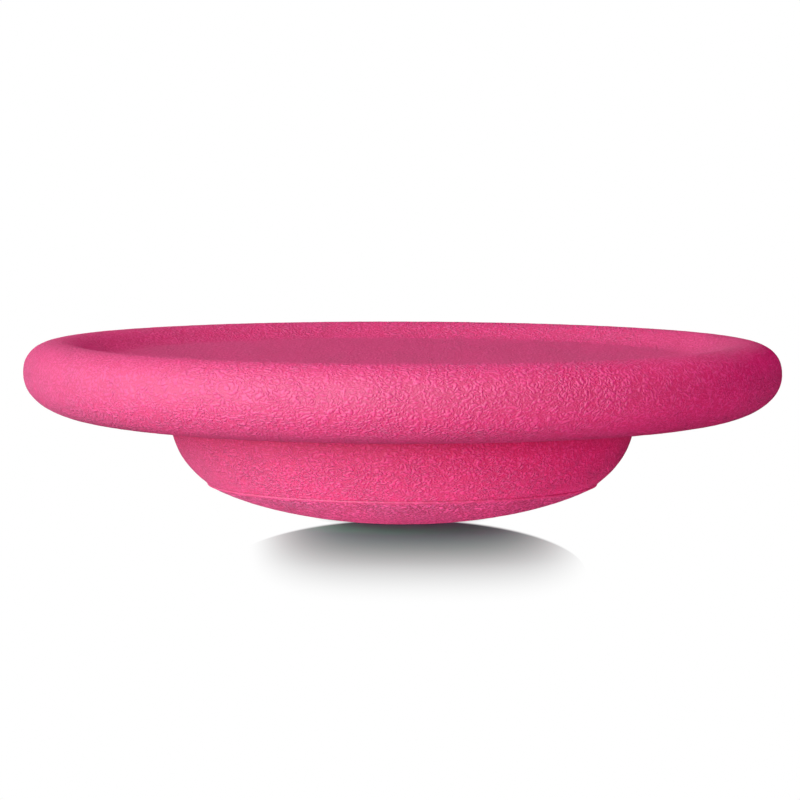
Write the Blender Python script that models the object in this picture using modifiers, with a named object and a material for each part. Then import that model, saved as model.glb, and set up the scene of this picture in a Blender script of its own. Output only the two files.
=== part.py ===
"""Curved balance board: a shallow standing dish on a round rocker dome, in moulded bead foam.

Metres, +Z up. The origin is on the floor, at the middle of the flat foot that the board rests on.
Three mouldings plug into each other from below: the tread cap into the rocker dome, and the rocker dome
into the dish. Each piece is a profile turned about the Z axis.
"""

import math

import bpy

# Rim and dish
BOARD_RADIUS = 0.2000  # widest circle of the rim
RIM_SHOULDER = 0.0197  # from the widest circle in to the crown, the highest circle of the rim
RIM_RISE = 0.0160  # from the widest circle up to the crown
RIM_TUCK = 0.0433  # from the widest circle in to where the rim meets the flat underside
RIM_DROP = 0.0247  # from the widest circle down to the flat underside
RIM_UPPER_FULLNESS = 2.26  # 2 is an ellipse, and more is squarer
RIM_LOWER_FULLNESS = 2.17
DISH_ROLL = 0.0300  # from the crown in to the flat standing floor
DISH_DEPTH = 0.0080  # from the crown down to the standing floor

# Rocker dome
DOME_RADIUS = 0.1227  # where the dome meets the flat underside of the dish
DOME_HEIGHT = 0.0547  # from the floor up to that underside
WALL_RUNOUT = 0.0118  # how far below the ring line the wall's ellipse would go on
DOME_LAND = 0.0227  # ring of the dome's top face left round its spigot
DOME_SPIGOT = 0.0140  # how far the dome's spigot goes up into the dish

# Tread cap
RING_RADIUS = 0.1030  # the ring line between the dome and the cap
RING_HEIGHT = 0.0205
TREAD_RUNOUT = 0.0231  # how far past the ring line the tread's ellipse would go on
FOOT_RADIUS = 0.0200  # the flat foot that the board rests on
BEAD_WIDTH = 0.0012  # raised bead round the cap's top edge
BEAD_PROUD = 0.0005
TREAD_LAND = 0.0180  # ring of the cap's top face left round its spigot
TREAD_SPIGOT = 0.0120  # how far the cap's spigot goes up into the dome

# Fits and edges
FIT_GAP = 0.0003  # between touching pieces, on faces and round spigots
SPIGOT_BEVEL = 0.0015  # lead-in on a spigot's top edge

# Smoothness of the turned pieces
TURN_STEPS = 96
RIM_STEPS = 10  # points along each quarter of the rim
ROLL_STEPS = 8
WALL_STEPS = 8
TREAD_STEPS = 9
SHARP_ANGLE = math.radians(35)
MERGE_DISTANCE = 0.00001

# Foam: hot pink through and through, matt from the mould
FOAM_PINK = (0.745, 0.050, 0.180)
DISH_ROUGHNESS = 0.62
DOME_ROUGHNESS = 0.62
TREAD_ROUGHNESS = 0.72  # the tread is grained more coarsely

# Heights and radii that follow from the sizes above
WIDEST_HEIGHT = DOME_HEIGHT + RIM_DROP
BOARD_HEIGHT = WIDEST_HEIGHT + RIM_RISE
CROWN_RADIUS = BOARD_RADIUS - RIM_SHOULDER
DISH_FLOOR_RADIUS = CROWN_RADIUS - DISH_ROLL
DISH_FLOOR_HEIGHT = BOARD_HEIGHT - DISH_DEPTH
UNDERSIDE_RADIUS = BOARD_RADIUS - RIM_TUCK
DOME_SPIGOT_RADIUS = DOME_RADIUS - DOME_LAND
TREAD_SPIGOT_RADIUS = RING_RADIUS - TREAD_LAND


def quarter(level_point, upright_point, fullness, steps):
    """Points of a quarter of a squared ellipse, from where it runs level to where it stands upright."""
    level_radius, level_height = level_point
    upright_radius, upright_height = upright_point
    points = []
    for step in range(steps + 1):
        turn = math.pi / 2 * step / steps
        across = math.sin(turn) ** (2 / fullness)
        along = math.cos(turn) ** (2 / fullness)
        radius = level_radius + (upright_radius - level_radius) * across
        height = upright_height + (level_height - upright_height) * along
        points.append((radius, height))
    return points


def dish_roll():
    """Points from the standing floor's edge up to the crown: level at both ends, steepest between."""
    points = []
    for step in range(ROLL_STEPS):
        share = step / ROLL_STEPS
        radius = DISH_FLOOR_RADIUS + DISH_ROLL * share
        height = DISH_FLOOR_HEIGHT + DISH_DEPTH * (1 - math.cos(math.pi * share)) / 2
        points.append((radius, height))
    return points


def dome_wall(top, bottom):
    """Points down the dome's wall: upright under the dish, then drawn in along an ellipse."""
    top_radius, top_height = top
    bottom_radius, bottom_height = bottom
    ellipse_height = top_height - bottom_height + WALL_RUNOUT
    last_turn = math.asin((top_height - bottom_height) / ellipse_height)
    ellipse_width = (top_radius - bottom_radius) / (1 - math.cos(last_turn))
    points = []
    for step in range(WALL_STEPS + 1):
        turn = last_turn * step / WALL_STEPS
        radius = top_radius - ellipse_width * (1 - math.cos(turn))
        height = top_height - ellipse_height * math.sin(turn)
        points.append((radius, height))
    return points


def tread_curve(top, foot_radius):
    """Points down the tread, from its top edge to the edge of the flat foot at height 0."""
    top_radius, top_height = top
    reach = top_radius + TREAD_RUNOUT
    first_turn = math.asin(top_radius / reach)
    last_turn = math.asin(foot_radius / reach)
    drop = top_height / (math.cos(last_turn) - math.cos(first_turn))
    points = []
    for step in range(TREAD_STEPS + 1):
        turn = first_turn + (last_turn - first_turn) * step / TREAD_STEPS
        points.append((reach * math.sin(turn), drop * (math.cos(last_turn) - math.cos(turn))))
    return points


def spigot(radius, base_height, rise):
    """Points of a spigot from the middle of its top out and down to the face that it stands on."""
    top = base_height + rise
    return [
        (0, top),
        (radius - SPIGOT_BEVEL, top),
        (radius, top - SPIGOT_BEVEL),
        (radius, base_height),
    ]


def socket(spigot_radius, face_height, spigot_rise):
    """Points of the socket for a spigot, from its mouth in a face inwards and up to the middle of its roof."""
    radius = spigot_radius + FIT_GAP
    return [
        (radius, face_height),
        (radius, face_height + spigot_rise),
        (0, face_height + spigot_rise),
    ]


def dish_profile():
    crown = (CROWN_RADIUS, BOARD_HEIGHT)
    widest = (BOARD_RADIUS, WIDEST_HEIGHT)
    underside = (UNDERSIDE_RADIUS, DOME_HEIGHT)
    upper = quarter(crown, widest, RIM_UPPER_FULLNESS, RIM_STEPS)
    lower = quarter(underside, widest, RIM_LOWER_FULLNESS, RIM_STEPS)
    lower.reverse()
    return (
        [(0, DISH_FLOOR_HEIGHT)]
        + dish_roll()
        + upper
        + lower[1:]
        + socket(DOME_SPIGOT_RADIUS, DOME_HEIGHT, DOME_SPIGOT)
    )


def dome_profile():
    top_face = DOME_HEIGHT - FIT_GAP
    wall = dome_wall((DOME_RADIUS, top_face), (RING_RADIUS, RING_HEIGHT))
    return (
        spigot(DOME_SPIGOT_RADIUS, top_face, DOME_SPIGOT)
        + wall
        + socket(TREAD_SPIGOT_RADIUS, RING_HEIGHT, TREAD_SPIGOT)
    )


def tread_profile():
    top_face = RING_HEIGHT - FIT_GAP
    bead = [
        (RING_RADIUS, top_face),
        (RING_RADIUS + BEAD_PROUD, top_face - BEAD_WIDTH / 2),
    ]
    tread = tread_curve((RING_RADIUS - BEAD_PROUD, top_face - BEAD_WIDTH), FOOT_RADIUS)
    return (
        spigot(TREAD_SPIGOT_RADIUS, top_face, TREAD_SPIGOT)
        + bead
        + tread
        + [(0, 0)]
    )


def foam(name, roughness):
    material = bpy.data.materials.new(name)
    material.use_nodes = True
    shader = material.node_tree.nodes["Principled BSDF"]
    shader.inputs["Base Color"].default_value = (*FOAM_PINK, 1)
    shader.inputs["Roughness"].default_value = roughness
    shader.inputs["Metallic"].default_value = 0
    material.diffuse_color = (*FOAM_PINK, 1)
    return material


def turned_piece(name, profile, material, collection):
    """A solid turned about Z from a profile that runs from the axis, down its outer side, to the axis."""
    points = [(radius, 0, height) for radius, height in profile]
    edges = [(index, index + 1) for index in range(len(points) - 1)]
    mesh = bpy.data.meshes.new(name)
    mesh.from_pydata(points, edges, [])
    mesh.materials.append(material)
    piece = bpy.data.objects.new(name, mesh)
    collection.objects.link(piece)

    screw = piece.modifiers.new("turn", "SCREW")
    screw.axis = "Z"
    screw.angle = 2 * math.pi
    screw.steps = TURN_STEPS
    screw.render_steps = TURN_STEPS
    screw.use_merge_vertices = True
    screw.merge_threshold = MERGE_DISTANCE
    bpy.context.view_layer.objects.active = piece
    bpy.ops.object.modifier_apply(modifier=screw.name)

    piece.data.shade_smooth()
    piece.data.set_sharp_from_angle(angle=SHARP_ANGLE)
    return piece


def main():
    for old in list(bpy.data.objects):
        bpy.data.objects.remove(old, do_unlink=True)
    board = bpy.data.collections.new("curved_balance_board")
    bpy.context.scene.collection.children.link(board)
    turned_piece("dish", dish_profile(), foam("dish_foam", DISH_ROUGHNESS), board)
    turned_piece("rocker_dome", dome_profile(), foam("dome_foam", DOME_ROUGHNESS), board)
    turned_piece("tread_cap", tread_profile(), foam("tread_foam", TREAD_ROUGHNESS), board)


main()
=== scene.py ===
"""Looks of the curved balance board: three mouldings of hot pink bead foam, on a white studio floor."""

import math

import bpy
from mathutils import Matrix, Vector


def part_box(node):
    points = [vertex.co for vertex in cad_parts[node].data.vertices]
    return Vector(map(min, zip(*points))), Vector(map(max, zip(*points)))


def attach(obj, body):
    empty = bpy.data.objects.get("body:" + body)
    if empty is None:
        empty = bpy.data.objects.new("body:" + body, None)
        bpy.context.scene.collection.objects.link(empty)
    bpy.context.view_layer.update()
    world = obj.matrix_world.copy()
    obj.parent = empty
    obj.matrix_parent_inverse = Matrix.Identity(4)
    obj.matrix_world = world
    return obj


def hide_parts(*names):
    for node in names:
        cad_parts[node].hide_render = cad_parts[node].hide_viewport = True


bl_info = {
    "name": "Curved Balance Board",
    "version": (1, 0, 0),
    "blender": (4, 5, 0),
    "location": "3D View > Sidebar > Board",
    "description": "Moulds a round foam balance board and sets it on a white studio floor",
    "category": "Object",
}

MM = 0.001

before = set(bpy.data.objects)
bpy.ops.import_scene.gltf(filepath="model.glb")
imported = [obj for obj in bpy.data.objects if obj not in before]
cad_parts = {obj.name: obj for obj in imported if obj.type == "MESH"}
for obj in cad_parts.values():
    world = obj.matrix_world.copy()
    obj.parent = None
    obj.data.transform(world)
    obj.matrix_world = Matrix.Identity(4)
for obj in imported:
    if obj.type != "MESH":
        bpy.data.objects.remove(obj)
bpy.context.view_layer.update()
DISH_LOW, DISH_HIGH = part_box("dish")
DOME_LOW, DOME_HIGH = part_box("rocker_dome")
TREAD_LOW, TREAD_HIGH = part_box("tread_cap")


class BoardSizes(bpy.types.PropertyGroup):
    """Sizes of the mouldings that the frame's boxes don't give."""

    rim_shoulder: bpy.props.FloatProperty(
        name="Rim shoulder",
        description="From the rim's widest circle in to its crown",
        default=19.7 * MM,
        unit="LENGTH",
    )
    rim_rise: bpy.props.FloatProperty(
        name="Rim rise",
        description="From the rim's widest circle up to its crown",
        default=16.0 * MM,
        unit="LENGTH",
    )
    rim_tuck: bpy.props.FloatProperty(
        name="Rim tuck",
        description="From the rim's widest circle in to the flat underside",
        default=43.3 * MM,
        unit="LENGTH",
    )
    upper_fullness: bpy.props.FloatProperty(
        name="Upper fullness",
        description="Squareness of the rim above its widest circle, where 2 is an ellipse",
        default=2.26,
    )
    lower_fullness: bpy.props.FloatProperty(
        name="Lower fullness",
        description="Squareness of the rim below its widest circle, where 2 is an ellipse",
        default=2.17,
    )
    dish_roll: bpy.props.FloatProperty(
        name="Dish roll",
        description="From the crown in to the flat standing floor",
        default=30.0 * MM,
        unit="LENGTH",
    )
    dish_depth: bpy.props.FloatProperty(
        name="Dish depth",
        description="From the crown down to the standing floor",
        default=8.0 * MM,
        unit="LENGTH",
    )
    flash_width: bpy.props.FloatProperty(
        name="Mould flash width",
        description="Width of the fine line that the mould's halves leave round the rim",
        default=0.8 * MM,
        unit="LENGTH",
    )
    flash_depth: bpy.props.FloatProperty(
        name="Mould flash depth",
        description="Depth of that line",
        default=0.07 * MM,
        unit="LENGTH",
    )
    wall_runout: bpy.props.FloatProperty(
        name="Wall runout",
        description="How far below the ring line the dome wall's ellipse would go on",
        default=11.8 * MM,
        unit="LENGTH",
    )
    dome_land: bpy.props.FloatProperty(
        name="Dome land",
        description="Ring of the dome's top face left round its spigot",
        default=22.7 * MM,
        unit="LENGTH",
    )
    tread_runout: bpy.props.FloatProperty(
        name="Tread runout",
        description="How far past the ring line the tread's ellipse would go on",
        default=23.1 * MM,
        unit="LENGTH",
    )
    tread_land: bpy.props.FloatProperty(
        name="Tread land",
        description="Ring of the cap's top face left round its spigot",
        default=18.0 * MM,
        unit="LENGTH",
    )
    foot_radius: bpy.props.FloatProperty(
        name="Foot radius",
        description="Radius of the flat foot",
        default=20.0 * MM,
        unit="LENGTH",
    )
    ring_bead_width: bpy.props.FloatProperty(
        name="Ring bead width",
        description="Width of the raised bead along the ring line",
        default=1.0 * MM,
        unit="LENGTH",
    )
    ring_bead_height: bpy.props.FloatProperty(
        name="Ring bead height",
        description="How far the raised bead stands out",
        default=0.25 * MM,
        unit="LENGTH",
    )


class BoardFinish(bpy.types.PropertyGroup):
    """Colour and skin of the foam."""

    hollow_colour: bpy.props.StringProperty(
        name="Foam in the hollows",
        description="Colour of the foam between the ridges of its grain, as an sRGB hex value",
        default="E40069",
    )
    # paler than the hollows: partly the foam's own tone, partly painted glints of the skin's gloss
    ridge_and_glint_colour: bpy.props.StringProperty(
        name="Foam on the ridges",
        description="Colour of the foam on the ridges of its grain, as an sRGB hex value",
        default="F4388B",
    )
    # The tread's hollows are darker and its ridges paler than the dish's: besides the foam's own paler
    # ridges, painted shade in the hollows and painted glints on the ridges make the grain show under the
    # soft light below.
    tread_hollow_and_shade_colour: bpy.props.StringProperty(
        name="Tread in the hollows",
        description="Colour of the tread between the ridges of its grain, as an sRGB hex value",
        default="CC0058",
    )
    tread_ridge_and_glint_colour: bpy.props.StringProperty(
        name="Tread on the ridges",
        description="Colour of the tread on the ridges of its grain, as an sRGB hex value",
        default="FF5CA8",
    )
    bead_size: bpy.props.FloatProperty(
        name="Bead size",
        description="Width across the fused beads that show through the skin",
        default=5.0 * MM,
        unit="LENGTH",
    )
    grain_size: bpy.props.FloatProperty(
        name="Grain size",
        description="Spacing of the fine crinkles in the skin",
        default=2.1 * MM,
        unit="LENGTH",
    )
    grain_depth: bpy.props.FloatProperty(
        name="Grain depth",
        description="Scale of the fine crinkles' height, in their shading",
        default=1.9 * MM,
        unit="LENGTH",
    )
    bead_relief: bpy.props.FloatProperty(
        name="Bead relief",
        description="Depth of the hollows between beads",
        default=0.15 * MM,
        unit="LENGTH",
    )


# Outlines are lists of points (radius, height), from the axis down the outer side and back to the axis

FIT_GAP = 0.3 * MM  # between the mouldings, on faces and round spigots
RING_GAP = 0.05 * MM  # at the ring line, where the bonded faces close up
SPIGOT_BEVEL = 1.5 * MM
SEAM_ROUND = 0.6 * MM  # softened edge of a moulding where it meets its neighbour
SEAM_INSET = 0.3 * SEAM_ROUND  # how far in the middle of that edge lies
FLASH_LIP = 0.01 * MM  # how far the foam steps in at either side of the mould flash
SKIN_STEP = 1.9 * MM  # spacing of outline points on the dish's rim
FLOOR_STEP = 2.4 * MM  # on flat faces
FINE_STEP = 1.1 * MM  # on the dome and the tread
ARC_LENGTH = 1.2  # a curve is taken to be this much longer than the line between its ends
BEAD_STEPS = 6  # across the ring bead
DISH_SEGMENTS = 512  # round the axis
DOME_SEGMENTS = 700  # the same, on the dome and the tread
WELD_DISTANCE = 0.002 * MM  # points that lie closer than this become one


def straight(start, end, step):
    """Points of a straight run after its start, no further apart than step."""
    count = max(1, math.ceil(math.dist(start, end) / step))
    across, down = end[0] - start[0], end[1] - start[1]
    shares = [index / count for index in range(1, count + 1)]
    return [(start[0] + across * share, start[1] + down * share) for share in shares]


def quarter(level_point, upright_point, fullness, step):
    """Points of a quarter of a squared ellipse, from where it runs level to where it stands upright."""
    level_radius, level_height = level_point
    upright_radius, upright_height = upright_point
    count = math.ceil(ARC_LENGTH * math.dist(level_point, upright_point) / step)
    points = []
    for index in range(count + 1):
        turn = math.pi / 2 * index / count
        across = math.sin(turn) ** (2 / fullness)
        along = math.cos(turn) ** (2 / fullness)
        radius = level_radius + (upright_radius - level_radius) * across
        height = upright_height + (level_height - upright_height) * along
        points.append((radius, height))
    return points


def dish_outline(sizes):
    """The standing floor, the roll up to the crown, the rim and the socket for the dome's spigot."""
    board_radius = DISH_HIGH.x
    crown = (board_radius - sizes.rim_shoulder, DISH_HIGH.z)
    widest = (board_radius, DISH_HIGH.z - sizes.rim_rise)
    underside = (board_radius - sizes.rim_tuck, DISH_LOW.z)
    floor_edge = (crown[0] - sizes.dish_roll, DISH_HIGH.z - sizes.dish_depth)
    roll_count = math.ceil(sizes.dish_roll / SKIN_STEP)
    roll = []
    for index in range(1, roll_count):
        share = index / roll_count
        rise = sizes.dish_depth * (1 - math.cos(math.pi * share)) / 2
        roll.append((floor_edge[0] + sizes.dish_roll * share, floor_edge[1] + rise))
    upper = quarter(crown, widest, sizes.upper_fullness, SKIN_STEP)
    lower = quarter(underside, widest, sizes.lower_fullness, SKIN_STEP)
    lower.reverse()
    half_flash = sizes.flash_width / 2
    flash = [
        (widest[0] - FLASH_LIP, widest[1] + half_flash),
        (widest[0] - sizes.flash_depth, widest[1]),
        (widest[0] - FLASH_LIP, widest[1] - half_flash),
    ]
    socket_radius = DOME_HIGH.x - sizes.dome_land + FIT_GAP
    socket_roof = DOME_HIGH.z + FIT_GAP
    return (
        [(0, floor_edge[1])]
        + straight((0, floor_edge[1]), floor_edge, FLOOR_STEP)
        + roll
        + upper[:-1]
        + flash
        + lower[1:]
        + straight(underside, (DOME_HIGH.x, DISH_LOW.z), FLOOR_STEP)
        + [(socket_radius, DISH_LOW.z), (socket_radius, socket_roof), (0, socket_roof)]
    )


def dome_outline(sizes):
    """The spigot, the wall down to the ring line and the socket for the tread's spigot."""
    top = (DOME_HIGH.x, DISH_LOW.z - FIT_GAP)
    bottom = (TREAD_HIGH.x - sizes.ring_bead_height, DOME_LOW.z)
    ellipse_height = top[1] - bottom[1] + sizes.wall_runout
    last_turn = math.asin((top[1] - bottom[1]) / ellipse_height)
    ellipse_width = (top[0] - bottom[0]) / (1 - math.cos(last_turn))
    count = math.ceil((top[1] - bottom[1]) * ARC_LENGTH / FINE_STEP)
    wall = []
    for index in range(count + 1):
        turn = last_turn * index / count
        radius = top[0] - ellipse_width * (1 - math.cos(turn))
        wall.append((radius, top[1] - ellipse_height * math.sin(turn)))
    rounded_top = [
        (top[0] - SEAM_ROUND, top[1]),
        (top[0] - SEAM_INSET, top[1] - SEAM_INSET),
        (top[0], top[1] - SEAM_ROUND),
    ]
    spigot_radius = top[0] - sizes.dome_land
    socket_radius = bottom[0] - sizes.tread_land + FIT_GAP
    socket_roof = TREAD_HIGH.z + FIT_GAP
    return (
        [
            (0, DOME_HIGH.z),
            (spigot_radius - SPIGOT_BEVEL, DOME_HIGH.z),
            (spigot_radius, DOME_HIGH.z - SPIGOT_BEVEL),
            (spigot_radius, top[1]),
        ]
        + rounded_top
        + wall[1:]
        + [(socket_radius, bottom[1]), (socket_radius, socket_roof), (0, socket_roof)]
    )


def tread_outline(sizes):
    """The spigot, the ring bead, the curved tread and the flat foot."""
    ring_radius = TREAD_HIGH.x - sizes.ring_bead_height
    top_face = DOME_LOW.z - RING_GAP
    spigot_radius = ring_radius - sizes.tread_land
    bead = []
    for index in range(BEAD_STEPS + 1):
        turn = math.pi * index / BEAD_STEPS
        radius = ring_radius + sizes.ring_bead_height * (math.sin(turn) - index / BEAD_STEPS)
        bead.append((radius, top_face - sizes.ring_bead_width * (1 - math.cos(turn)) / 2))
    top = bead[-1]
    reach = top[0] + sizes.tread_runout
    first_turn = math.asin(top[0] / reach)
    last_turn = math.asin(sizes.foot_radius / reach)
    drop = top[1] / (math.cos(last_turn) - math.cos(first_turn))
    count = math.ceil(math.dist(top, (sizes.foot_radius, 0)) / FINE_STEP)
    tread = []
    for index in range(1, count + 1):
        turn = first_turn + (last_turn - first_turn) * index / count
        tread.append((reach * math.sin(turn), drop * (math.cos(last_turn) - math.cos(turn))))
    return (
        [
            (0, TREAD_HIGH.z),
            (spigot_radius - SPIGOT_BEVEL, TREAD_HIGH.z),
            (spigot_radius, TREAD_HIGH.z - SPIGOT_BEVEL),
            (spigot_radius, top_face),
        ]
        + bead
        + tread
        + straight(tread[-1], (0, 0), FLOOR_STEP)
    )


def turn(name, outline, segments):
    """A closed moulding turned about Z from an outline that starts and ends on the axis."""
    bpy.ops.object.select_all(action="DESELECT")
    start = outline[0]
    bpy.ops.mesh.primitive_plane_add(size=MM, location=(start[0], 0, start[1]))
    piece = bpy.context.object
    piece.name = name
    piece.data.name = name
    bpy.ops.object.transform_apply(location=True, rotation=True, scale=True)
    bpy.ops.object.mode_set(mode="EDIT")
    bpy.ops.mesh.select_all(action="SELECT")
    bpy.ops.mesh.merge(type="CENTER")
    for point, following in zip(outline, outline[1:]):
        move = (following[0] - point[0], 0, following[1] - point[1])
        bpy.ops.mesh.extrude_vertices_move(TRANSFORM_OT_translate={"value": move})
    bpy.ops.object.mode_set(mode="OBJECT")

    screw = piece.modifiers.new("turn", "SCREW")
    screw.steps = segments
    screw.render_steps = segments
    screw.use_merge_vertices = True
    screw.merge_threshold = WELD_DISTANCE
    bpy.ops.object.modifier_apply(modifier=screw.name)

    bpy.ops.object.mode_set(mode="EDIT")
    bpy.ops.mesh.select_all(action="SELECT")
    bpy.ops.mesh.remove_doubles(threshold=WELD_DISTANCE)
    bpy.ops.mesh.normals_make_consistent(inside=False)
    bpy.ops.object.mode_set(mode="OBJECT")
    return piece


SKIN_MARGIN = MM  # by which the pressed skin stays clear of the faces that meet a neighbour
UNEVEN_LENGTH = 8  # spacing of the skin's slow unevenness, in beads
SMOOTH_ANGLE = math.radians(40)  # edges that turn less than this are shaded smooth


def press_beads(piece, is_skin, finish):
    """Fused beads and slow unevenness in the skin, pressed inwards from the mould's face."""
    skin = piece.vertex_groups.new(name="skin")
    skin.add([vertex.index for vertex in piece.data.vertices if is_skin(vertex.co)], 1, "REPLACE")

    beads = bpy.data.textures.new("fused beads", "VORONOI")
    beads.noise_scale = finish.bead_size
    pressed = piece.modifiers.new("fused beads", "DISPLACE")
    pressed.texture = beads
    pressed.strength = -finish.bead_relief
    pressed.mid_level = 0
    pressed.vertex_group = skin.name

    uneven = bpy.data.textures.new("uneven skin", "CLOUDS")
    uneven.noise_scale = UNEVEN_LENGTH * finish.bead_size
    slack = piece.modifiers.new("uneven skin", "DISPLACE")
    slack.texture = uneven
    slack.strength = -finish.bead_relief
    slack.mid_level = 0
    slack.vertex_group = skin.name

    bpy.context.view_layer.objects.active = piece
    bpy.ops.object.modifier_apply(modifier=pressed.name)
    bpy.ops.object.modifier_apply(modifier=slack.name)
    bpy.ops.object.select_all(action="DESELECT")
    piece.select_set(True)
    bpy.ops.object.shade_smooth_by_angle(angle=SMOOTH_ANGLE)


# Materials

# The finest crinkles of such a skin would not show, so they are drawn about 2 mm apart, and steep.
GRAIN_STRETCH = 0.8  # the crinkles run longer one way than the other
GRAIN_SLANT = math.radians(45)  # of that way, seen from the front
WOBBLE = 1.5  # how far the crinkles wander, in grain sizes
WOBBLE_LENGTH = 4  # between their wanderings, in grain sizes
NOISE_DETAIL = 1  # finer octaves in every noise
CRINKLE_ROUGHNESS = 0.6  # strength of the finer octave in the crinkles
NOISE_MIDDLE = 0.5  # value at which the crinkle noise is folded
FOLD = 2  # the folded noise has sharp creases, and is made this much steeper
FOLD_FLOOR = 0.12  # depth of a crease under the skin's middle, as a share of the grain's depth
PALE_FROM, PALE_TO = -0.03, 0.09  # heights, in the same share, between which the ridges pale, partly as painted glints
PATCH_LENGTH = 5  # width of the patches with a stronger or weaker grain, in beads
PATCH_FROM, PATCH_TO = 0.35, 0.65  # values of their noise between which a weak patch turns into a strong one
WEAK_GRAIN, STRONG_GRAIN = 0.7, 1.1  # what such patches keep of the grain
SMOOTH_RUN = 18 * MM  # height over which the grain fades towards a smoother edge
RING_SMOOTH_RUN = 1.2 * MM  # the same, just under the smooth bead along the ring line
DISH_RELIEF, DOME_RELIEF, TREAD_RELIEF = 1, 1.35, 1.9  # what multiplies each moulding's grain depth
DISH_SHARE, DOME_SHARE, TREAD_SHARE = 0.75, 0.35, 0.15  # what each keeps of its grain at its smoother edge
BEAD_GROOVE = 0.03 * MM  # depth of the fine line between two beads
BEAD_GROOVE_SHARE = 0.12  # of a bead's width


def linear(hex_colour):
    """An sRGB hex value as a linear colour with full alpha."""
    parts = [int(hex_colour[start:start + 2], 16) / 255 for start in (0, 2, 4)]
    return [part / 12.92 if part <= 0.04045 else ((part + 0.055) / 1.055) ** 2.4 for part in parts] + [1]


# Polypropylene has an IOR of 1.49. It is raised here until the matt skin's sheen matches the board's.
FOAM_SURFACE = {
    "Roughness": 0.8,
    "Diffuse Roughness": 1.0,
    "IOR": 1.8,
    "Specular IOR Level": 1.0,
    "Specular Tint": linear("FFE1FF"),
}


def add(tree, kind, settings=None, **inputs):
    """A node with its settings, and its inputs by socket name with spaces as _, as values or links."""
    node = tree.nodes.new(kind)
    for name, value in (settings or {}).items():
        setattr(node, name, value)
    for name, value in inputs.items():
        key = int(name[1:]) if name[1:].isdigit() else name.replace("_", " ")
        if isinstance(value, bpy.types.NodeSocket):
            tree.links.new(value, node.inputs[key])
        else:
            node.inputs[key].default_value = value
    return node


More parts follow.
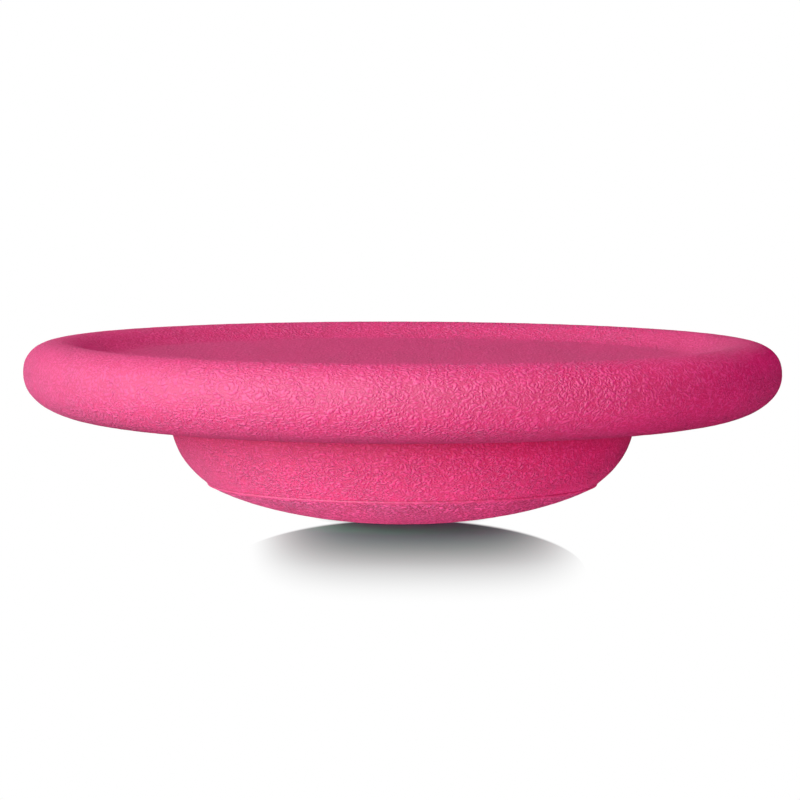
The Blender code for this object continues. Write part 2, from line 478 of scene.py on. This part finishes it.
def moulded_bead_foam(name, finish, colours, relief, smooth_top, smooth_run, smooth_share):
    """Expanded polypropylene beads fused in a grained mould: matt, deep in colour, with a fine crinkled skin
    whose ridges are paler than its hollows, partly the foam's own tone and partly painted glints. The grain
    depth is multiplied by relief. Over the height smooth_run below smooth_top the grain fades, and above
    smooth_top it keeps only smooth_share."""
    material = bpy.data.materials.new(name)
    material.use_nodes = True
    tree = material.node_tree
    shader = tree.nodes["Principled BSDF"]
    grain_size = finish.grain_size
    place = add(tree, "ShaderNodeTexCoord").outputs["Object"]
    wobble = add(
        tree,
        "ShaderNodeTexNoise",
        Vector=place,
        Scale=1 / (WOBBLE_LENGTH * grain_size),
        Detail=NOISE_DETAIL,
    )
    bent = add(
        tree,
        "ShaderNodeVectorMath",
        {"operation": "MULTIPLY_ADD"},
        _0=wobble.outputs["Color"],
        _1=(WOBBLE * grain_size, WOBBLE * grain_size, WOBBLE * grain_size),
        _2=place,
    )
    slanted = add(
        tree,
        "ShaderNodeMapping",
        Vector=bent.outputs[0],
        Rotation=(0, GRAIN_SLANT, 0),
        Scale=(GRAIN_STRETCH, 1, 1),
    )
    crinkle = add(
        tree,
        "ShaderNodeTexNoise",
        Vector=slanted.outputs[0],
        Scale=1 / grain_size,
        Detail=NOISE_DETAIL,
        Roughness=CRINKLE_ROUGHNESS,
    )
    patches = add(
        tree,
        "ShaderNodeTexNoise",
        Vector=place,
        Scale=1 / (PATCH_LENGTH * finish.bead_size),
        Detail=NOISE_DETAIL,
    )
    patchy = add(
        tree,
        "ShaderNodeMapRange",
        Value=patches.outputs[0],
        _1=PATCH_FROM,
        _2=PATCH_TO,
        _3=WEAK_GRAIN,
        _4=STRONG_GRAIN,
    )
    axes = add(tree, "ShaderNodeSeparateXYZ", Vector=place)
    fade = add(
        tree,
        "ShaderNodeMapRange",
        {"interpolation_type": "SMOOTHSTEP"},
        Value=axes.outputs[2],
        _1=smooth_top,
        _2=smooth_top - smooth_run,
        _3=smooth_share,
        _4=1,
    )
    strength = add(
        tree, "ShaderNodeMath", {"operation": "MULTIPLY"}, _0=patchy.outputs[0], _1=fade.outputs[0]
    )
    centred = add(
        tree, "ShaderNodeMath", {"operation": "SUBTRACT"}, _0=crinkle.outputs[0], _1=NOISE_MIDDLE
    )
    folded = add(tree, "ShaderNodeMath", {"operation": "ABSOLUTE"}, _0=centred.outputs[0])
    raised = add(
        tree,
        "ShaderNodeMath",
        {"operation": "MULTIPLY_ADD"},
        _0=folded.outputs[0],
        _1=FOLD,
        _2=-FOLD_FLOOR,
    )
    height = add(
        tree, "ShaderNodeMath", {"operation": "MULTIPLY"}, _0=raised.outputs[0], _1=strength.outputs[0]
    )
    skin = add(
        tree, "ShaderNodeBump", Strength=1, Distance=relief * finish.grain_depth, Height=height.outputs[0]
    )
    beads = add(
        tree,
        "ShaderNodeTexVoronoi",
        {"feature": "DISTANCE_TO_EDGE"},
        Vector=bent.outputs[0],
        Scale=1 / finish.bead_size,
    )
    bead_edge = add(
        tree,
        "ShaderNodeMapRange",
        {"interpolation_type": "SMOOTHSTEP"},
        Value=beads.outputs[0],
        _2=BEAD_GROOVE_SHARE,
    )
    fused = add(
        tree,
        "ShaderNodeBump",
        Strength=1,
        Distance=BEAD_GROOVE,
        Height=bead_edge.outputs[0],
        Normal=skin.outputs[0],
    )
    # the ridges turn paler: partly the foam's own tone, partly painted glints of the skin's gloss
    paleness_and_glint = add(tree, "ShaderNodeMapRange", Value=height.outputs[0], _1=PALE_FROM, _2=PALE_TO)
    tint = add(
        tree,
        "ShaderNodeMix",
        {"data_type": "RGBA"},
        _0=paleness_and_glint.outputs[0],
        _6=linear(colours[0]),
        _7=linear(colours[1]),
    )
    tree.links.new(tint.outputs[2], shader.inputs["Base Color"])
    tree.links.new(fused.outputs[0], shader.inputs["Normal"])
    for socket, value in FOAM_SURFACE.items():
        shader.inputs[socket].default_value = value
    return material


def finish_piece(piece, material, node):
    """The moulding's material, and the CAD node that it stands for."""
    piece.data.materials.clear()
    piece.data.materials.append(material)
    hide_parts(node)
    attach(piece, "root")


class BOARD_OT_dish(bpy.types.Operator):
    """Mould the dish with its rolled rim"""

    bl_idname = "board.dish"
    bl_label = "Dish"

    def execute(self, context):
        sizes, finish = context.scene.board_sizes, context.scene.board_finish
        piece = turn("dish_moulding", dish_outline(sizes), DISH_SEGMENTS)
        floor_height = DISH_HIGH.z - sizes.dish_depth

        def is_skin(place):
            outside_dome = math.hypot(place.x, place.y) > DOME_HIGH.x + SKIN_MARGIN
            return outside_dome or place.z > floor_height - SKIN_MARGIN

        press_beads(piece, is_skin, finish)
        colours = (finish.hollow_colour, finish.ridge_and_glint_colour)
        foam = moulded_bead_foam(
            "moulded bead foam, fine skin",
            finish,
            colours,
            relief=DISH_RELIEF,
            smooth_top=DISH_HIGH.z - sizes.rim_rise,
            smooth_run=SMOOTH_RUN,
            smooth_share=DISH_SHARE,
        )
        finish_piece(piece, foam, "dish")
        return {"FINISHED"}


class BOARD_OT_dome(bpy.types.Operator):
    """Mould the rocker dome with its spigot and socket"""

    bl_idname = "board.dome"
    bl_label = "Rocker dome"

    def execute(self, context):
        sizes, finish = context.scene.board_sizes, context.scene.board_finish
        piece = turn("dome_moulding", dome_outline(sizes), DOME_SEGMENTS)
        top = DISH_LOW.z - FIT_GAP - SEAM_ROUND
        ring_radius = TREAD_HIGH.x - sizes.ring_bead_height

        def is_skin(place):
            on_wall = DOME_LOW.z + SKIN_MARGIN < place.z < top
            return on_wall and math.hypot(place.x, place.y) > ring_radius

        press_beads(piece, is_skin, finish)
        colours = (finish.hollow_colour, finish.ridge_and_glint_colour)
        foam = moulded_bead_foam(
            "moulded bead foam, dome",
            finish,
            colours,
            relief=DOME_RELIEF,
            smooth_top=DISH_LOW.z,
            smooth_run=SMOOTH_RUN,
            smooth_share=DOME_SHARE,
        )
        finish_piece(piece, foam, "rocker_dome")
        return {"FINISHED"}


class BOARD_OT_tread(bpy.types.Operator):
    """Mould the tread cap with its ring bead, flat foot and spigot"""

    bl_idname = "board.tread"
    bl_label = "Tread cap"

    def execute(self, context):
        sizes, finish = context.scene.board_sizes, context.scene.board_finish
        piece = turn("tread_moulding", tread_outline(sizes), DOME_SEGMENTS)
        bead_bottom = DOME_LOW.z - RING_GAP - sizes.ring_bead_width

        def is_skin(place):
            return place.z < bead_bottom

        press_beads(piece, is_skin, finish)
        # painted shade in the hollows and painted glints on the ridges, besides the foam's own paler ridges
        colours = (finish.tread_hollow_and_shade_colour, finish.tread_ridge_and_glint_colour)
        foam = moulded_bead_foam(
            "moulded bead foam, coarse tread",
            finish,
            colours,
            relief=TREAD_RELIEF,
            smooth_top=bead_bottom,
            smooth_run=RING_SMOOTH_RUN,
            smooth_share=TREAD_SHARE,
        )
        finish_piece(piece, foam, "tread_cap")
        return {"FINISHED"}


# Stage

EYE_DISTANCE = 1.9084  # metres
EYE_ELEVATION = math.radians(4.7203)
EYE_AIM = Vector((0, 0, 53.95 * MM))
IMAGE_SIDE = 800  # pixels
FOCAL_PIXELS = 3601.27  # focal length in such pixels
AIM_PIXEL = (402.50, 418.33)  # where EYE_AIM shows
EYE_ROLL = math.radians(0.153)
SENSOR = 36.0  # millimetres
VIEW_LIMIT = 100  # metres
WHITE = "FFFFFF"
LAMP_DISTANCE = 2.4  # metres
LAMP_SIDE = 0.9

# Each lamp's name, azimuth and elevation in degrees, and watts
KEY = ("key softbox", -40, 12, 24)
KEY_SHEEN = ("key sheen", -40, 12, 94)  # the key's share that only the foam's gloss shows
FILL_LAMPS = (
    ("side fill", -90, 3, 26),
    ("front fill", 10, 3, 26),
    ("top fill", 0, 88, 30),
)
ROOM_LIGHT = 0.03  # even light from all round
FLOOR_SIDE = 12  # metres

# The floor's sheet, in metres from the board's middle. For the camera, dark paint in front of the foot is a
# painted shadow, which the board's real shadow darkens further. It ends in an arc and fades to white.
PAINTED_SHADOW_FOOT = "5AC595"  # painted shadow by the foot, grey once the board's pink light falls on it
PAINTED_SHADOW_RIM = "5FA490"  # painted shadow under the rim, where that light is weaker
PAINTED_SHADOW_OUT = "696969"  # painted shadow further out, where that light is gone
PAINTED_SHADOW_FOOT_EDGE = (0.05, 0.08)  # distances between which the first gives way to the second
PAINTED_SHADOW_FADE = (0.1, 0.65)  # shares of the shadow's fade between which one turns into the other
SHEET_BOUNCE = "F3B5DF"  # what the sheet gives back, pink so that the foam stays deep in the shade
UPLIGHT = 0.92  # the lit sheet under the board, which lights its underside
UPLIGHT_EDGE = (0.12, 0.16)  # distances between which it ends
SHADOW_MIDDLE = (0.002, -0.2)  # of the ellipse whose end is the shadow's arc
SHADOW_HALF_SIZE = (0.0825, 0.2)
SHADOW_EDGE = (0.97, 1.03)  # as shares of that half size
SHADOW_FADE = (0.04, 0.34)  # distances at which it starts to fade and is white
SHADOW_BOW = 31  # the fade's steepness to the sides, per metre
SHADOW_SKEW = -0.28  # which moves the fade's middle to the right
SHADOW_WIDENING = 0.044  # the bow times this is the distance across, in metres
CONTACT_MIDDLE = (0, 0.012)  # where the board's own shadow is kept in full
CONTACT_EDGE = (0.02, 0.05)  # distances from there between which it gives way to the arc


def set_camera():
    back = Vector((0, -math.cos(EYE_ELEVATION), math.sin(EYE_ELEVATION)))
    bpy.ops.object.camera_add(location=EYE_AIM + EYE_DISTANCE * back)
    camera = bpy.context.object
    camera.name = "camera"
    camera.data.sensor_width = SENSOR
    camera.data.lens = FOCAL_PIXELS / IMAGE_SIDE * SENSOR
    level = back.to_track_quat("Z", "Y").to_matrix()
    turn_right = math.atan((IMAGE_SIDE / 2 - AIM_PIXEL[0]) / FOCAL_PIXELS)
    turn_down = math.atan((IMAGE_SIDE / 2 - AIM_PIXEL[1]) / FOCAL_PIXELS)
    off_axis = Matrix.Rotation(-turn_right, 3, "Y") @ Matrix.Rotation(-turn_down, 3, "X")
    camera.rotation_euler = (level @ off_axis @ Matrix.Rotation(EYE_ROLL, 3, "Z")).to_euler()
    camera.data.clip_end = VIEW_LIMIT
    bpy.context.scene.camera = camera


def set_lamp(name, azimuth, elevation, watts):
    """A softbox that faces the board. Azimuth 0 is in front, and negative is to the left."""
    azimuth, elevation = math.radians(azimuth), math.radians(elevation)
    away = Vector(
        (
            math.sin(azimuth) * math.cos(elevation),
            -math.cos(azimuth) * math.cos(elevation),
            math.sin(elevation),
        )
    )
    bpy.ops.object.light_add(type="AREA", location=EYE_AIM + LAMP_DISTANCE * away)
    lamp = bpy.context.object
    lamp.name = name
    lamp.data.shape = "SQUARE"
    lamp.data.size = LAMP_SIDE
    lamp.data.energy = watts
    lamp.rotation_euler = away.to_track_quat("Z", "Y").to_euler()
    return lamp


def white_floor():
    """White studio sweep: a painted shadow of dark paint in front of the board's foot, darkened further
    by the board's real shadow, plain white further off.
    """
    material = bpy.data.materials.new("white studio sweep")
    material.use_nodes = True
    tree = material.node_tree
    tree.nodes.clear()
    place = add(tree, "ShaderNodeTexCoord").outputs["Object"]

    def from_middle(middle, width, length):
        """Distance from a point of the floor, where 1 is the edge of an ellipse of these half sizes."""
        scaled = add(
            tree,
            "ShaderNodeMapping",
            {"vector_type": "TEXTURE"},
            Vector=place,
            Location=(*middle, 0),
            Scale=(width, length, 1),
        )
        length_node = add(tree, "ShaderNodeVectorMath", {"operation": "LENGTH"}, _0=scaled.outputs[0])
        return length_node.outputs["Value"]

    def rise(value, start, end):
        """0 up to start, 1 from end, and smooth between."""
        return add(
            tree, "ShaderNodeMapRange", {"interpolation_type": "SMOOTHSTEP"}, Value=value, _1=start, _2=end
        ).outputs[0]

    # The painted shadow's shape: an arc behind, and a fade to white in front and to the sides.
    axes = add(tree, "ShaderNodeSeparateXYZ", Vector=place)
    across = add(
        tree,
        "ShaderNodeMath",
        {"operation": "MULTIPLY_ADD"},
        _0=axes.outputs[0],
        _1=SHADOW_BOW,
        _2=SHADOW_SKEW,
    )
    bowed = add(tree, "ShaderNodeMath", {"operation": "SINH"}, _0=across.outputs[0])
    steep = add(tree, "ShaderNodeMath", {"operation": "MULTIPLY"}, _0=bowed.outputs[0], _1=SHADOW_WIDENING)
    spread = add(tree, "ShaderNodeCombineXYZ", X=steep.outputs[0], Y=axes.outputs[1])
    reach = add(tree, "ShaderNodeVectorMath", {"operation": "LENGTH"}, _0=spread.outputs[0])
    fade = rise(reach.outputs["Value"], *SHADOW_FADE)
    outside = rise(from_middle(SHADOW_MIDDLE, *SHADOW_HALF_SIZE), *SHADOW_EDGE)
    contact = rise(from_middle(CONTACT_MIDDLE, 1, 1), *CONTACT_EDGE)
    beyond = add(tree, "ShaderNodeMath", {"operation": "MAXIMUM"}, _0=fade, _1=outside)
    white = add(tree, "ShaderNodeMath", {"operation": "MINIMUM"}, _0=beyond.outputs[0], _1=contact)
    paths = add(tree, "ShaderNodeLightPath")
    seen = paths.outputs["Is Camera Ray"]
    share = add(tree, "ShaderNodeMath", {"operation": "MULTIPLY"}, _0=white.outputs[0], _1=seen)
    # Inside that shape the camera sees dark paint, a painted shadow, and other rays see the pink bounce.
    painted_shadow_near = add(
        tree,
        "ShaderNodeMix",
        {"data_type": "RGBA"},
        _0=rise(from_middle((0, 0), 1, 1), *PAINTED_SHADOW_FOOT_EDGE),
        _6=linear(PAINTED_SHADOW_FOOT),
        _7=linear(PAINTED_SHADOW_RIM),
    )
    grey = add(
        tree,
        "ShaderNodeMix",
        {"data_type": "RGBA"},
        _0=rise(fade, *PAINTED_SHADOW_FADE),
        _6=painted_shadow_near.outputs[2],
        _7=linear(PAINTED_SHADOW_OUT),
    )
    shadow_and_bounce_tone = add(
        tree,
        "ShaderNodeMix",
        {"data_type": "RGBA"},
        _0=seen,
        _6=linear(SHEET_BOUNCE),
        _7=grey.outputs[2],
    )
    shadow_and_bounce_paint = add(tree, "ShaderNodeBsdfDiffuse", Color=shadow_and_bounce_tone.outputs[2])
    glow = add(tree, "ShaderNodeEmission", Color=linear(WHITE), Strength=1)
    under = add(
        tree,
        "ShaderNodeMapRange",
        {"interpolation_type": "SMOOTHSTEP"},
        Value=from_middle((0, 0), 1, 1),
        _1=UPLIGHT_EDGE[0],
        _2=UPLIGHT_EDGE[1],
        _3=UPLIGHT,
        _4=0,
    )
    bounced = paths.outputs["Is Diffuse Ray"]
    upward = add(tree, "ShaderNodeMath", {"operation": "MULTIPLY"}, _0=under.outputs[0], _1=bounced)
    uplight = add(tree, "ShaderNodeEmission", Color=linear(SHEET_BOUNCE), Strength=upward.outputs[0])
    lit = add(tree, "ShaderNodeAddShader", _0=shadow_and_bounce_paint.outputs[0], _1=uplight.outputs[0])
    both = add(tree, "ShaderNodeMixShader", _0=share.outputs[0], _1=lit.outputs[0], _2=glow.outputs[0])
    add(tree, "ShaderNodeOutputMaterial", Surface=both.outputs[0])
    return material


def white_room():
    """The world: an even studio fill that adds no gloss, seen as plain white."""
    world = bpy.data.worlds.new("white room")
    bpy.context.scene.world = world
    world.use_nodes = True
    tree = world.node_tree
    tree.nodes.clear()
    paths = add(tree, "ShaderNodeLightPath")
    matt = add(tree, "ShaderNodeMath", {"operation": "SUBTRACT"}, _0=1, _1=paths.outputs["Is Glossy Ray"])
    level = add(tree, "ShaderNodeMath", {"operation": "MULTIPLY"}, _0=matt.outputs[0], _1=ROOM_LIGHT)
    fill = add(tree, "ShaderNodeBackground", Color=linear(WHITE), Strength=level.outputs[0])
    shown = add(tree, "ShaderNodeBackground", Color=linear(WHITE), Strength=1)
    seen = paths.outputs["Is Camera Ray"]
    both = add(tree, "ShaderNodeMixShader", _0=seen, _1=fill.outputs[0], _2=shown.outputs[0])
    add(tree, "ShaderNodeOutputWorld", Surface=both.outputs[0])


class BOARD_OT_stage(bpy.types.Operator):
    """Set the white floor, the softboxes and the camera"""

    bl_idname = "board.stage"
    bl_label = "Studio stage"

    def execute(self, context):
        set_camera()
        bpy.ops.object.select_all(action="DESELECT")
        bpy.ops.mesh.primitive_plane_add(size=FLOOR_SIDE, location=(0, 0, 0))
        floor = bpy.context.object
        floor.name = "studio_floor"
        floor.data.materials.append(white_floor())
        floor.visible_glossy = False  # in the foam's gloss it would grey the underside
        white_room()
        set_lamp(*KEY)
        sheen = set_lamp(*KEY_SHEEN)
        sheen.visible_diffuse = False
        for lamp in FILL_LAMPS:
            fill = set_lamp(*lamp)
            fill.visible_glossy = False
        context.scene.view_settings.view_transform = "Standard"
        return {"FINISHED"}


class BOARD_PT_panel(bpy.types.Panel):
    """The board's steps and sizes in the sidebar"""

    bl_idname = "BOARD_PT_panel"
    bl_label = "Curved Balance Board"
    bl_space_type = "VIEW_3D"
    bl_region_type = "UI"
    bl_category = "Board"

    def draw(self, context):
        for group in (context.scene.board_sizes, context.scene.board_finish):
            for name in group.__annotations__:
                self.layout.prop(group, name)
        for step in STEPS:
            self.layout.operator(step.bl_idname)


STEPS = (BOARD_OT_dish, BOARD_OT_dome, BOARD_OT_tread, BOARD_OT_stage)
CLASSES = (BoardSizes, BoardFinish, *STEPS, BOARD_PT_panel)


def register():
    for item in CLASSES:
        bpy.utils.register_class(item)
    bpy.types.Scene.board_sizes = bpy.props.PointerProperty(type=BoardSizes)
    bpy.types.Scene.board_finish = bpy.props.PointerProperty(type=BoardFinish)


def unregister():
    del bpy.types.Scene.board_finish
    del bpy.types.Scene.board_sizes
    for item in reversed(CLASSES):
        bpy.utils.unregister_class(item)


def main():
    register()
    bpy.ops.board.dish()
    bpy.ops.board.dome()
    bpy.ops.board.tread()
    bpy.ops.board.stage()


if __name__ == "__main__":
    main()
